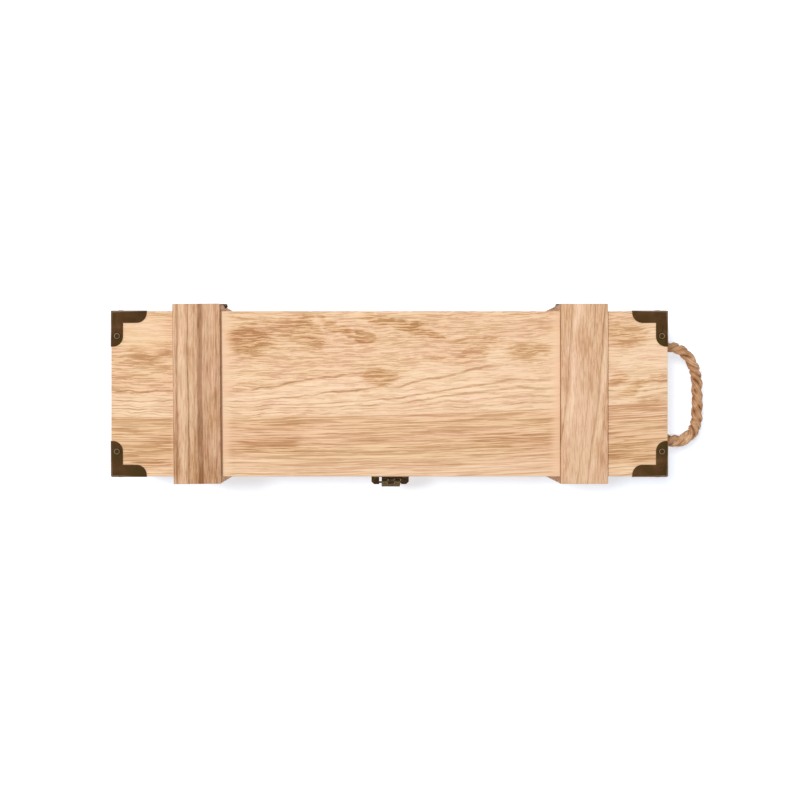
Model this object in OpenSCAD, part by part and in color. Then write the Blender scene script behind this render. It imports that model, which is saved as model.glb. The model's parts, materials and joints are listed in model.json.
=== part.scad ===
// Hinged wooden box for one bottle: boarded case and lid, wooden battens all round, bronze corners,
// hinges and hasp, and a rope handle at one end.
// +X runs along the box to the rope handle, -Y is the front with the hasp, +Z is up.
// The origin is in the middle of the footprint, on the surface that the box stands on.

/* [Case] */
// Length of the case, over the end boards
case_l = 350; // [320:1:370]
// Width of the case, over the front and rear boards
case_w = 104; // [98:1:130]
// Height of the lower case, from under its floor to the split
base_h = 75; // [72:1:100]
// Height of the lid, from the split to its top face
lid_h = 30; // [29:1:40]
// Thickness of every board
board_t = 8; // [7:0.5:10]
// Depth of the rebate that takes an end board
rebate = 3; // [2:0.5:4]
// Gap between the closed lid and the case
seam = 0.4; // [0.3:0.1:0.8]

/* [Battens] */
// Width of a batten
batten_w = 29.8; // [29:0.1:36]
// Thickness of a batten
batten_t = 4.5; // [4:0.5:6]
// Distance from the middle of the case to the left batten
left_batten = 120.8; // [100:0.1:125]
// Distance from the middle of the case to the right batten
right_batten = 122.1; // [100:0.1:125]
// Angle by which the left batten on the lid sits askew
left_skew = 0.5; // [0:0.1:1]

/* [Corners] */
// Length of a corner protector's arms
corner_leg = 22.3; // [20:0.1:24]
// Width of a corner protector's arms
corner_arm = 7.4; // [7:0.1:9]
// Length of the rounded end of a corner protector's arm
corner_round = 6.4; // [5:0.1:7]
// Thickness of the corner protector's sheet
corner_t = 0.4; // [0.4:0.1:0.8]
// Distance of a corner nail from the corner, along its arm
corner_nail_along = 15.7; // [13:0.1:17]
// How much further along the nails in the long sides are, which pass those in the ends
corner_nail_step = 2.2; // [2:0.1:2.4]
// Distance of a corner nail from the outer edge of its arm
corner_nail_in = 3.7; // [3.4:0.1:4.2]

/* [Nails] */
// Diameter of a dome-headed nail's head
dome_d = 4.4; // [3.6:0.1:4.8]
// Height of a dome-headed nail's head
dome_h = 1; // [0.8:0.1:1.2]
// Diameter of a tack's head, on the hinges and the hasp
tack_d = 2.8; // [2.4:0.1:3]
// Diameter of the shank of nails and tacks
shank_d = 1.4; // [1.2:0.1:1.4]
// Length of a panel pin
pin_l = 18; // [14:1:18]

/* [Hinges] */
// Width of a hinge
hinge_w = 29; // [26:0.5:29]
// Height of a hinge leaf, from the pin
leaf_h = 11; // [10:0.5:14]
// Thickness of a hinge leaf
leaf_t = 0.6; // [0.5:0.1:0.8]
// Outside diameter of a hinge barrel
barrel_d = 2.8; // [2.7:0.1:3]
// Diameter of a hinge pin
hinge_pin_d = 1.4; // [1.2:0.1:1.4]
// Distance by which the left hinge sits to the right of its batten's middle
left_hinge_shift = 1.4; // [0:0.1:1.5]
// Distance by which the right hinge sits to the right of its batten's middle
right_hinge_shift = 0.5; // [0:0.1:1.5]

/* [Hasp] */
// Place of the hasp along the case, from its middle
hasp_x = 0.65; // [-20:0.05:20]
// Width of the hasp's two plates
hasp_w = 24; // [24:0.5:28]
// Thickness of the hasp's plates
plate_t = 0.7; // [0.6:0.1:0.8]
// Width of the hasp arm
arm_w = 12; // [11:0.5:12]
// Length of the hasp arm, from its pin
arm_l = 18.5; // [18.5:0.5:20]
// Thickness of the hasp arm
arm_t = 0.8; // [0.7:0.1:1]
// Angle at which the unfastened arm stands off the case
arm_ajar = 6; // [6:1:20]
// Width of the slot in the arm
slot_w = 3.9; // [3.4:0.1:3.9]

/* [Rope] */
// Diameter of the rope
rope_d = 7.5; // [6:0.5:8]
// Height of the rope holes
rope_z = 52; // [48:1:56]
// Angle by which the loop hangs below level
rope_droop = 15; // [0:1:30]

/* [Hidden] */

$fn = 40;

// Colours of the finished pieces
wood = "#eac099";
batten_wood = "#daae8b";
bronze = "#5c432b";
steel = "#9a938a";
rope = "#b08b69";

// Heights of the case, from the surface that it stands on
floor_z = batten_t;
wall_z = floor_z + board_t;
split_z = floor_z + base_h;
lid_top_z = split_z + lid_h;
panel_z = lid_top_z - board_t;

// Half sizes
half_l = case_l / 2;
half_w = case_w / 2;
batten_face = half_w + batten_t;

// Fits: a pin turns in its barrel with fit_gap all round, and nothing else comes nearer than gap.
// bite is how far two shapes of one piece reach into each other, and past how far a cutter goes too far
fit_gap = 0.05;
gap = 0.3;
bite = 0.02;
past = 1;

// Nails, tacks and panel pins
tack_h = 0.7;
nail_l = 7;
dimple_d = 1.6;
panel_pin_d = 1.2;
panel_pin_head_d = 2;
panel_pin_head_h = 0.6;

// Panel pins: height along the corners, places along the floor
wall_pin_z = [34, 66.5];
lid_pin_z = [85, 98];
floor_pin_x = [-90, -30, 30, 90];
floor_pin_end_y = 15;

// Hinges: the pin runs just outside the rear battens' faces, and the barrel lies in their rebated edges
hinge_out = 0.2;
hinge_y = batten_face + hinge_out;
hinge_z = split_z;
pin_head_t = 0.5;
pin_head_d = 2.2;
knuckle = hinge_w / 3;
hinge_tack_x = 9;
hinge_tack_z = 7;
left_hinge_x = left_hinge_shift - left_batten;
right_hinge_x = right_batten + right_hinge_shift;

// Hasp: the plate's lower edge stands off the case and is rolled round the pin in two knuckles, pinched
// shut at their outer ends, and stands off as a lip behind the arm. The arm hangs between them on two
// knuckles of its own, beside its slot, and has slid to the right on the pin
arm_slid = 0.6;
roll_d = 2.7;
hasp_pin_d = 1.2;
hasp_out = 4.8;
arm_roll_d = 3.8;
lip_out = hasp_out - arm_roll_d / 2 - gap;
hasp_above_split = 5;
hasp_y = -half_w - hasp_out;
hasp_z = split_z + hasp_above_split;
hasp_plate_h = 15.5;
outer_knuckle = 5;
pinched = 1.1;
pinch_slant = 1.7;
slot_to = 17;
curl_r = 1.4;
arm_x = hasp_x + arm_slid;
catch_h = 16;
catch_below_split = 1;
catch_top = split_z - catch_below_split;
staple_x = hasp_x + 1.3;
staple_z = 72;
staple_h = 6;
staple_w = 1.8;
staple_wall = 1.2;
staple_reach = 5.5;
hasp_tack_in = 3;

// Rope: the knot behind each hole, and the loop's route in its own plane, as [out, along Y]
hole_play = 0.7;
hole_d = rope_d + hole_play;
knot_d = 17;
knot_l = 10;
tail_l = 8;
loop_x = half_l + gap + rope_d / 2;
rope_sides = 12;
route = [[0, 30.3], [4, 30.7], [8, 30.8], [12.5, 30], [17.6, 27.4], [22.1, 22.4], [25.3, 15.8],
    [26.7, 8.9], [27, 2.3], [27.1, -4.3], [27, -11], [26.5, -18], [24.8, -23.6], [21.5, -27.7],
    [17.2, -30.4], [12.1, -31.2], [8, -31], [4, -30.6], [0, -30.3]];
rope_y = route[0][1];

// ---- Shared shapes ----

module flip(on, axis) {
    if (on) mirror(axis) children();
    else children();
}

// A long board of the case or the lid, rebated at both ends for the end boards; side is -1 or 1 in Y
module long_board(side, z, h) {
    flip(side > 0, [0, 1, 0]) difference() {
        translate([-half_l, -half_w, z]) cube([case_l, board_t, h]);
        for (x = [-half_l, half_l])
            translate([x - board_t, -half_w + board_t - rebate, z - past])
                cube([2 * board_t, rebate + past, h + 2 * past]);
    }
}

// An end board, held in the rebates of the long boards; side is -1 or 1 in X
module end_board(side, z, h) {
    flip(side < 0, [1, 0, 0])
        translate([half_l - board_t, -half_w + board_t - rebate, z])
            cube([board_t, case_w - 2 * (board_t - rebate), h]);
}

// A panel that covers the whole case
module full_panel(z) {
    translate([-half_l, -half_w, z]) cube([case_l, case_w, board_t]);
}

// A batten across the top or the bottom
module cross_batten(x, z, skew = 0) {
    translate([x, 0, z]) rotate([0, 0, skew])
        translate([-batten_w / 2, -batten_face, 0]) cube([batten_w, 2 * batten_face, batten_t]);
}

// An upright batten on the front (side -1) or the rear (side 1), from one height to another; a rear one
// is rebated along the split for the hinge's barrel
module upright_batten(x, side, low, high) {
    barrel_r = barrel_d / 2 + gap;
    difference() {
        flip(side > 0, [0, 1, 0])
            translate([x - batten_w / 2, -batten_face, low]) cube([batten_w, batten_t, high - low]);
        if (side > 0) translate([x - batten_w, hinge_y - barrel_r, hinge_z - barrel_r])
            cube([2 * batten_w, 2 * barrel_r, 2 * barrel_r]);
    }
}

// Puts a corner drawn at the origin, with the wood on its +X, +Y and +Z side, onto a corner of the case
module at_corner(right, rear, top) {
    translate([right ? half_l : -half_l, rear ? half_w : -half_w, top ? lid_top_z : floor_z])
        flip(right, [1, 0, 0]) flip(rear, [0, 1, 0]) flip(top, [0, 0, 1]) children();
}

// Draws its children three times, once for each face that meets in a corner, and tells them how far along
// its arm the nail is. On the long sides they are mirrored, so that the nail there is in the upright arm, as
// it is on the ends, and a little further along, so that the two nails pass each other
module on_three_faces() {
    for (turn = [0, 120, 240]) rotate(a = turn, v = [1, 1, 1]) flip(turn == 240, [1, -1, 0])
        let ($nail_along = corner_nail_along + (turn == 240 ? corner_nail_step : 0)) children();
}

// One arm of a corner protector's flange, with its rounded end
module flange_arm() {
    end_r = (corner_round * corner_round + corner_arm * corner_arm) / (2 * corner_arm);
    translate([-corner_t, -corner_t]) square([corner_leg - corner_round + corner_t, corner_arm + corner_t]);
    translate([-corner_t, -corner_t]) square([corner_leg + corner_t, corner_t]);
    translate([corner_leg - corner_round, 0]) intersection() {
        translate([0, corner_arm - end_r]) circle(r = end_r);
        translate([0, -bite]) square(corner_arm + bite);
    }
}

// One flange of a corner protector: two arms and a nail hole
module flange() {
    translate([0, 0, -corner_t]) linear_extrude(corner_t) difference() {
        union() {
            flange_arm();
            mirror([1, -1]) flange_arm();
        }
        translate([corner_nail_in, $nail_along]) circle(d = shank_d + 2 * fit_gap);
    }
}

module corner_protector(right, rear, top) {
    color(bronze) at_corner(right, rear, top) on_three_faces() flange();
}

// A nail with a domed head, standing along -Z with its head's seat at the origin
module domed_nail(head_d, head_h) {
    ball_r = (head_d * head_d / 4 + head_h * head_h) / (2 * head_h);
    cylinder(d = shank_d, h = nail_l);
    difference() {
        intersection() {
            translate([0, 0, ball_r - head_h]) sphere(r = ball_r);
            translate([0, 0, -head_h]) cylinder(d = head_d, h = head_h);
        }
        translate([0, 0, -head_h - bite]) cylinder(d1 = dimple_d, d2 = dimple_d / 3, h = head_h / 2);
    }
}

module corner_nails(top) {
    color(bronze) for (right = [false, true]) for (rear = [false, true])
        at_corner(right, rear, top) on_three_faces()
            translate([corner_nail_in, $nail_along, -corner_t]) domed_nail(dome_d, dome_h);
}

// A panel pin driven flush, along +Z from the origin
module panel_pin() {
    cylinder(d = panel_pin_d, h = pin_l);
    cylinder(d = panel_pin_head_d, h = panel_pin_head_h);
}

// Panel pins through the long boards into the ends of the end boards
module corner_pins(heights) {
    color(steel) for (right = [false, true]) for (rear = [false, true]) for (z = heights)
        flip(right, [1, 0, 0]) flip(rear, [0, 1, 0])
            translate([-half_l + board_t / 2, -half_w, z]) rotate([-90, 0, 0]) panel_pin();
}

// ---- Case ----

module floor_panel() {
    color(wood) full_panel(floor_z);
}

module case_wall(side) {
    color(wood) long_board(side, wall_z, split_z - seam / 2 - wall_z);
}

module case_end(side) {
    color(wood) end_board(side, wall_z, split_z - seam / 2 - wall_z);
}

module right_end_wall() {
    color(wood) difference() {
        end_board(1, wall_z, split_z - seam / 2 - wall_z);
        for (y = [-rope_y, rope_y])
            translate([half_l - 2 * board_t, y, rope_z]) rotate([0, 90, 0])
                cylinder(d = hole_d, h = 3 * board_t);
    }
}

module skid(x) {
    color(batten_wood) cross_batten(x, 0);
}

module case_batten(x, side) {
    color(batten_wood) upright_batten(x, side, floor_z, split_z - seam / 2);
}

module floor_pins() {
    color(steel) for (side = [-1, 1]) {
        for (x = floor_pin_x)
            translate([x, side * (half_w - board_t / 2), floor_z]) panel_pin();
        for (y = [-floor_pin_end_y, floor_pin_end_y])
            translate([side * (half_l - board_t / 2), y, floor_z]) panel_pin();
    }
}

// ---- Lid ----

module lid_panel() {
    color(wood) full_panel(panel_z);
}

module lid_long_rail(side) {
    color(wood) long_board(side, split_z + seam / 2, panel_z - split_z - seam / 2);
}

module lid_end_rail(side) {
    color(wood) end_board(side, split_z + seam / 2, panel_z - split_z - seam / 2);
}

module lid_batten(x, skew) {
    color(batten_wood) cross_batten(x, lid_top_z, skew);
}

module lid_side_batten(x, side) {
    color(batten_wood) upright_batten(x, side, split_z + seam / 2, lid_top_z);
}

// ---- Hinges, drawn with the leaf of the lid upwards and mirrored down for the case ----

// Draws its children in one hinge's place, and upside down for the leaf on the case
module at_hinge(x, on_case) {
    translate([x, hinge_y, hinge_z]) flip(on_case, [0, 0, 1]) children();
}

module barrel(from, to) {
    translate([from, 0, 0]) rotate([0, 90, 0]) cylinder(d = barrel_d, h = to - from);
}

// A leaf lies against the batten and is cut back round the knuckles of the other leaf
module leaf(knuckles, cut_backs) {
    difference() {
        union() {
            translate([-hinge_w / 2, -hinge_out, 0]) cube([hinge_w, leaf_t, leaf_h]);
            for (k = knuckles) barrel(k[0], k[1]);
        }
        for (k = cut_backs)
            translate([k[0] - gap / 2, -hinge_out - past, -barrel_d])
                cube([k[1] - k[0] + gap, leaf_t + 2 * past, 1.5 * barrel_d + gap]);
        translate([-hinge_w, 0, 0]) rotate([0, 90, 0]) cylinder(d = hinge_pin_d + 2 * fit_gap, h = 2 * hinge_w);
        for (x = [-hinge_tack_x, hinge_tack_x])
            translate([x, -hinge_out - past, hinge_tack_z]) rotate([-90, 0, 0])
                cylinder(d = shank_d + 2 * fit_gap, h = leaf_t + 2 * past);
    }
}

outer_knuckles = [[-hinge_w / 2, -knuckle / 2 - gap / 2], [knuckle / 2 + gap / 2, hinge_w / 2]];
middle_knuckle = [[-knuckle / 2 + gap / 2, knuckle / 2 - gap / 2]];

module case_leaf(x) {
    color(bronze) at_hinge(x, true) leaf(outer_knuckles, middle_knuckle);
}

module lid_leaf(x) {
    color(bronze) at_hinge(x, false) leaf(middle_knuckle, outer_knuckles);
}

// The pin has a flat head just outside each end of the barrel
module hinge_pin(x) {
    color(bronze) translate([x, hinge_y, hinge_z]) rotate([0, 90, 0]) {
        cylinder(d = hinge_pin_d, h = hinge_w + 2 * fit_gap + bite, center = true);
        for (side = [-1, 1])
            translate([0, 0, side * (hinge_w / 2 + fit_gap + pin_head_t / 2)])
                cylinder(d = pin_head_d, h = pin_head_t, center = true);
    }
}

module hinge_tacks(on_case) {
    color(bronze) for (x = [left_hinge_x, right_hinge_x]) for (tack = [-hinge_tack_x, hinge_tack_x])
        at_hinge(x, on_case) translate([tack, leaf_t - hinge_out, hinge_tack_z])
            rotate([90, 0, 0]) domed_nail(tack_d, tack_h);
}

// ---- Hasp ----

// A plate against the front of the case, its outline centred on x and starting at z
module front_plate(z, h) {
    translate([hasp_x - hasp_w / 2, -half_w - plate_t, z]) cube([hasp_w, plate_t, h]);
}

module tack_places(z_places) {
    for (x = [hasp_x - hasp_w / 2 + hasp_tack_in, hasp_x + hasp_w / 2 - hasp_tack_in]) for (z = z_places)
        translate([x, -half_w - plate_t, z]) rotate([-90, 0, 0]) children();
}

hasp_plate_z = hasp_z + roll_d / 2 - plate_t;
hasp_tack_z = [hasp_plate_z + hasp_plate_h - hasp_tack_in];
catch_tack_z = [catch_top - catch_h + hasp_tack_in, catch_top - hasp_tack_in];

module tack_holes(z_places) {
    tack_places(z_places) translate([0, 0, -past]) cylinder(d = shank_d + 2 * fit_gap, h = plate_t + 2 * past);
}

// An outer knuckle seen from its side: a shelf from the plate, and the roll round the pin
module knuckle_side() {
    circle(d = roll_d);
    translate([0, roll_d / 2 - plate_t]) square([hasp_out, plate_t]);
}

module hasp_plate() {
    color(bronze) difference() {
        union() {
            front_plate(hasp_plate_z, hasp_plate_h);
            translate([arm_x - arm_w / 2, -half_w - lip_out, hasp_plate_z])
                cube([hasp_x + hasp_w / 2 - outer_knuckle + bite - arm_x + arm_w / 2, lip_out, plate_t]);
            for (x = [-hasp_w / 2, hasp_w / 2 - outer_knuckle])
                translate([hasp_x + x, hasp_y, hasp_z]) rotate([90, 0, 90])
                    linear_extrude(outer_knuckle) knuckle_side();
        }
        translate([hasp_x, hasp_y, hasp_z]) rotate([0, 90, 0])
            cylinder(d = hasp_pin_d + 2 * fit_gap, h = hasp_w - 2 * pinched + 2 * fit_gap, center = true);
        for (side = [-1, 1])
            translate([hasp_x + side * hasp_w / 2, hasp_y - roll_d / 2, hasp_z - roll_d])
                linear_extrude(2 * roll_d)
                    polygon([[-side * pinch_slant, 0], [side * past, pinch_slant + past],
                             [side * past, -past], [-side * pinch_slant, -past]]);
        tack_holes(hasp_tack_z);
    }
}

module hasp_plate_tacks() {
    color(bronze) tack_places(hasp_tack_z) domed_nail(tack_d, tack_h);
}

module hasp_pin() {
    color(bronze) translate([hasp_x, hasp_y, hasp_z]) rotate([0, 90, 0])
        cylinder(d = hasp_pin_d, h = hasp_w - 2 * pinched, center = true);
}

// The arm seen from its side: roll, flat strip and a tip that curls away from the case
module arm_side() {
    circle(d = arm_roll_d);
    translate([-arm_t / 2, -arm_l]) square([arm_t, arm_l]);
    translate([-arm_t / 2 - curl_r, -arm_l]) difference() {
        circle(r = curl_r + arm_t);
        circle(r = curl_r);
        translate([-2 * curl_r - arm_t, -2 * curl_r]) square([2 * curl_r + arm_t, 4 * curl_r + arm_t]);
        translate([-bite, 0]) square(2 * curl_r + arm_t);
    }
}

// The slot runs from the arm's lower end right up through its roll
module hasp_arm() {
    color(bronze) translate([arm_x, hasp_y, hasp_z]) rotate([-arm_ajar, 0, 0]) difference() {
        rotate([90, 0, 90]) translate([0, 0, -arm_w / 2]) linear_extrude(arm_w) arm_side();
        rotate([0, 90, 0]) cylinder(d = hasp_pin_d + 2 * fit_gap, h = 2 * arm_w, center = true);
        rotate([90, 0, 0]) linear_extrude(2 * arm_roll_d, center = true) {
            translate([0, -slot_to + slot_w / 2]) circle(d = slot_w);
            translate([-slot_w / 2, -slot_to + slot_w / 2]) square([slot_w, slot_to + arm_roll_d]);
        }
    }
}

module catch_plate() {
    color(bronze) difference() {
        front_plate(catch_top - catch_h, catch_h);
        tack_holes(catch_tack_z);
    }
}

module catch_plate_tacks() {
    color(bronze) tack_places(catch_tack_z) domed_nail(tack_d, tack_h);
}

// The staple stands on the catch plate: a flat bow in the plane of Y and Z that the slot passes over
module staple_side(inset) {
    r = staple_h / 2 - inset;
    reach = staple_reach - plate_t - inset;
    translate([-reach + r, 0]) circle(r = r);
    translate([-reach + r, -r]) square([reach - r + past, 2 * r]);
}

module lock_staple() {
    color(bronze) translate([staple_x - staple_w / 2, -half_w - plate_t, staple_z])
        rotate([90, 0, 90]) linear_extrude(staple_w) difference() {
            intersection() {
                staple_side(0);
                translate([-staple_reach, -staple_h]) square([staple_reach, 2 * staple_h]);
            }
            staple_side(staple_wall);
        }
}

// ---- Rope ----

// The rope's end: through its hole in the end board, and knotted behind it
module rope_knot(y) {
    color(rope) translate([half_l, y, rope_z]) rotate([0, -90, 0]) {
        cylinder(d = rope_d, h = board_t + knot_l + tail_l);
        translate([0, 0, board_t + knot_l / 2]) rotate_extrude() intersection() {
            union() {
                translate([(knot_d - knot_l) / 2, 0]) circle(d = knot_l);
                translate([0, -knot_l / 2]) square([(knot_d - knot_l) / 2, knot_l]);
            }
            translate([0, -knot_l]) square(2 * knot_l);
        }
    }
}

// The loop: a ring of points round each point of the route, and two smaller ones that round each end
function unit(v) = v / norm(v);
function in_space(p) = [loop_x + p[0] * cos(rope_droop), p[1], rope_z - p[0] * sin(rope_droop)];
function along(i) = unit(route[min(i + 1, len(route) - 1)] - route[max(i - 1, 0)]);
function ring(centre, heading, r) = [for (k = [0:rope_sides - 1])
    let (a = 360 * k / rope_sides, side = r * cos(a), up = r * sin(a))
    in_space(centre + side * [-heading[1], heading[0]]) + up * [sin(rope_droop), 0, cos(rope_droop)]];

last = len(route) - 1;
end_angles = [75, 40];
start_rings = [for (a = end_angles)
    ring(route[0] - along(0) * sin(a) * rope_d / 2, along(0), cos(a) * rope_d / 2)];
end_rings = [for (a = [end_angles[1], end_angles[0]])
    ring(route[last] + along(last) * sin(a) * rope_d / 2, along(last), cos(a) * rope_d / 2)];
loop_rings = concat(start_rings, [for (i = [0:last]) ring(route[i], along(i), rope_d / 2)], end_rings);

module rope_loop() {
    rings = len(loop_rings);
    skin = [for (i = [0:rings - 2]) for (k = [0:rope_sides - 1])
        let (next = (k + 1) % rope_sides)
        [i * rope_sides + k, (i + 1) * rope_sides + k, (i + 1) * rope_sides + next, i * rope_sides + next]];
    first_cap = [for (k = [0:rope_sides - 1]) k];
    last_cap = [for (k = [rope_sides - 1:-1:0]) (rings - 1) * rope_sides + k];
    color(rope)
        polyhedron(points = [for (r = loop_rings) for (p = r) p], faces = concat([first_cap, last_cap], skin));
}

// ---- The assembly ----

floor_panel();
case_wall(-1);  // front_wall
case_wall(1);  // rear_wall
case_end(-1);  // left_end_wall
right_end_wall();
skid(-left_batten);  // left_skid
skid(right_batten);  // right_skid
case_batten(-left_batten, -1);  // case_front_left_batten
case_batten(right_batten, -1);  // case_front_right_batten
case_batten(-left_batten, 1);  // case_rear_left_batten
case_batten(right_batten, 1);  // case_rear_right_batten
corner_protector(false, false, false);  // base_corner_front_left
corner_protector(true, false, false);  // base_corner_front_right
corner_protector(false, true, false);  // base_corner_rear_left
corner_protector(true, true, false);  // base_corner_rear_right
corner_nails(false);  // base_corner_nails
floor_pins();
corner_pins(wall_pin_z);  // wall_pins
case_leaf(left_hinge_x);  // left_hinge_case_leaf
case_leaf(right_hinge_x);  // right_hinge_case_leaf
hinge_pin(left_hinge_x);  // left_hinge_pin
hinge_pin(right_hinge_x);  // right_hinge_pin
hinge_tacks(true);  // case_hinge_tacks
catch_plate();
lock_staple();
catch_plate_tacks();
rope_knot(-rope_y);  // rope_knot_front
rope_knot(rope_y);  // rope_knot_rear
lid_panel();
lid_long_rail(-1);  // lid_front_rail
lid_long_rail(1);  // lid_rear_rail
lid_end_rail(-1);  // lid_left_rail
lid_end_rail(1);  // lid_right_rail
lid_batten(-left_batten, left_skew);  // lid_left_batten
lid_batten(right_batten, 0);  // lid_right_batten
lid_side_batten(-left_batten, -1);  // lid_front_left_batten
lid_side_batten(right_batten, -1);  // lid_front_right_batten
lid_side_batten(-left_batten, 1);  // lid_rear_left_batten
lid_side_batten(right_batten, 1);  // lid_rear_right_batten
corner_protector(false, false, true);  // lid_corner_front_left
corner_protector(true, false, true);  // lid_corner_front_right
corner_protector(false, true, true);  // lid_corner_rear_left
corner_protector(true, true, true);  // lid_corner_rear_right
corner_nails(true);  // lid_corner_nails
corner_pins(lid_pin_z);  // lid_pins
lid_leaf(left_hinge_x);  // left_hinge_lid_leaf
lid_leaf(right_hinge_x);  // right_hinge_lid_leaf
hinge_tacks(false);  // lid_hinge_tacks
hasp_plate();
hasp_plate_tacks();
hasp_pin();
hasp_arm();
rope_loop();
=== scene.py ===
"""The looks of a hinged wooden box for one bottle, seen from straight above as in its photograph."""

import json
import math
import random

import bpy
import numpy as np
from mathutils import Matrix, Vector


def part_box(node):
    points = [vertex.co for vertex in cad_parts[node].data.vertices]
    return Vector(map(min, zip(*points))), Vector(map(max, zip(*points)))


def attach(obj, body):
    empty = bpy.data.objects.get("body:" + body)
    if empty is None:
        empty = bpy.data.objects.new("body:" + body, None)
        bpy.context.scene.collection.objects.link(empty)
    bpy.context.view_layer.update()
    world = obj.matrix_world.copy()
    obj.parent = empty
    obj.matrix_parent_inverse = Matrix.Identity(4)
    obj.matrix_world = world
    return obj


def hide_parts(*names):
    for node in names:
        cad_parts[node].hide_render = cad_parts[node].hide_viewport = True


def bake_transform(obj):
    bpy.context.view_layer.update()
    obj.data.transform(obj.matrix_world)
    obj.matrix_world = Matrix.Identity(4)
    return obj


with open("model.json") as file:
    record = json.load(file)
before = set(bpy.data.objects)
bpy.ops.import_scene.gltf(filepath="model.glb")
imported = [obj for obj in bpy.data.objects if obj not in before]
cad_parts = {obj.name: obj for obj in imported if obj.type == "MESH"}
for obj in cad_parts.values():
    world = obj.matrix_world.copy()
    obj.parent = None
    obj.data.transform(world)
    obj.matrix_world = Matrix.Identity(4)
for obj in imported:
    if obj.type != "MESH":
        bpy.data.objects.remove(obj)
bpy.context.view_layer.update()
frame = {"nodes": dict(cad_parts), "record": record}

MM = 0.001
NODES = frame["nodes"]
BODY_OF = {name: body for body, names in frame["record"]["behaviour"]["bodies"].items() for name in names}
random.seed(7)

# Places that the CAD model settles, in metres
LID_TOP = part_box("lid_panel")[1].z
WALL_LOW, WALL_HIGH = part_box("right_end_wall")

# ---------------------------------------------------------------- camera

# The photograph is 800 pixels square. In it the lid's top lies at this scale, and the points below lie
# under the camera and under the middle of the case
FRAME_PX = 800
MM_PER_PX = 0.629
UNDER_CAMERA_PX = (372.5, 391.5)
CASE_MIDDLE_PX = (389.45, 393.8)
CAMERA_ABOVE_LID = 1.12
SENSOR = 36.0


def make_camera():
    """Straight above the lid, off its middle, with the picture shifted as in the photograph."""
    data = bpy.data.cameras.new("camera")
    data.sensor_width = SENSOR
    data.lens = SENSOR * CAMERA_ABOVE_LID / (FRAME_PX * MM_PER_PX * MM)
    data.shift_x = (FRAME_PX / 2 - UNDER_CAMERA_PX[0]) / FRAME_PX
    data.shift_y = (UNDER_CAMERA_PX[1] - FRAME_PX / 2) / FRAME_PX
    data.clip_end = 10
    camera = bpy.data.objects.new("camera", data)
    camera.location = (
        (UNDER_CAMERA_PX[0] - CASE_MIDDLE_PX[0]) * MM_PER_PX * MM,
        (CASE_MIDDLE_PX[1] - UNDER_CAMERA_PX[1]) * MM_PER_PX * MM,
        LID_TOP + CAMERA_ABOVE_LID,
    )
    bpy.context.scene.collection.objects.link(camera)
    bpy.context.scene.camera = camera


make_camera()

# ---------------------------------------------------------------- helpers for pieces

# Points nearer to each other than this are merged, and faces that turn less than this become one
MERGE_WITHIN = 0.002 * MM
FLAT_WITHIN = math.radians(1)
# Edges that turn more than this are rounded, in this many steps
EDGE_ANGLE = math.radians(35)
EDGE_STEPS = 2


def only(piece):
    """Selects one object alone and makes it active."""
    bpy.ops.object.select_all(action="DESELECT")
    piece.select_set(True)
    bpy.context.view_layer.objects.active = piece


def settle(piece, body, material, replaces=()):
    """Puts a finished piece's place into its mesh, gives it its finish, hides the nodes that it replaces and
    ties it to its body.
    """
    piece.data.transform(piece.matrix_world)
    piece.matrix_world = Matrix.Identity(4)
    piece.data.materials.clear()
    piece.data.materials.append(material)
    if replaces:
        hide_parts(*replaces)
    if body:
        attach(piece, body)
    return piece


def copy_of(node, name):
    """A copy of a CAD node with its own mesh, its loose triangles merged and its flat faces whole again."""
    piece = NODES[node].copy()
    piece.data = NODES[node].data.copy()
    piece.name = piece.data.name = name
    for key in list(piece.keys()):
        del piece[key]
    piece.parent = None
    bpy.context.scene.collection.objects.link(piece)
    only(piece)
    bpy.ops.object.mode_set(mode="EDIT")
    bpy.ops.mesh.select_all(action="SELECT")
    bpy.ops.mesh.remove_doubles(threshold=MERGE_WITHIN)
    bpy.ops.mesh.dissolve_limited(angle_limit=FLAT_WITHIN)
    bpy.ops.object.mode_set(mode="OBJECT")
    return piece


def soften(piece, width, rubbed_or_highlit=False):
    """Rounds a piece's edges and shades it smooth across the round ones. Rubbed edges get material 1, the
    lighter plating that is partly wear and partly painted highlight.
    """
    only(piece)
    if rubbed_or_highlit:
        piece.data.materials.clear()
        piece.data.materials.append(None)
        piece.data.materials.append(None)
    bevel = piece.modifiers.new("edges", "BEVEL")
    bevel.width = width
    bevel.segments = EDGE_STEPS
    bevel.limit_method = "ANGLE"
    bevel.angle_limit = EDGE_ANGLE
    bevel.material = 1 if rubbed_or_highlit else -1
    bpy.ops.object.modifier_apply(modifier=bevel.name)
    bpy.ops.object.shade_smooth_by_angle(angle=EDGE_ANGLE)


def rub_and_highlight(piece, marks):
    """Gives a piece a second finish on its marked faces: the plating painted lighter, partly as rubbed wear
    and partly as painted highlight.
    """
    piece.data.materials.append(RUBBED_AND_HIGHLIGHT)
    piece.data.polygons.foreach_set("material_index", [int(mark) for mark in marks])


def mesh_piece(name, points, faces):
    """A new object from points in metres and faces."""
    mesh = bpy.data.meshes.new(name)
    mesh.from_pydata([tuple(p) for p in points], [], faces)
    mesh.validate()
    piece = bpy.data.objects.new(name, mesh)
    bpy.context.scene.collection.objects.link(piece)
    return piece


# ---------------------------------------------------------------- helpers for materials


def linear(hex_colour):
    """An sRGB colour such as "e8c49a" as linear red, green, blue and alpha."""
    parts = [int(hex_colour[i:i + 2], 16) / 255 for i in (0, 2, 4)]
    return tuple(c / 12.92 if c <= 0.04045 else ((c + 0.055) / 1.055) ** 2.4 for c in parts) + (1.0,)


def new_material(name):
    material = bpy.data.materials.new(name)
    material.use_nodes = True
    material.node_tree.nodes.clear()
    return material


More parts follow.
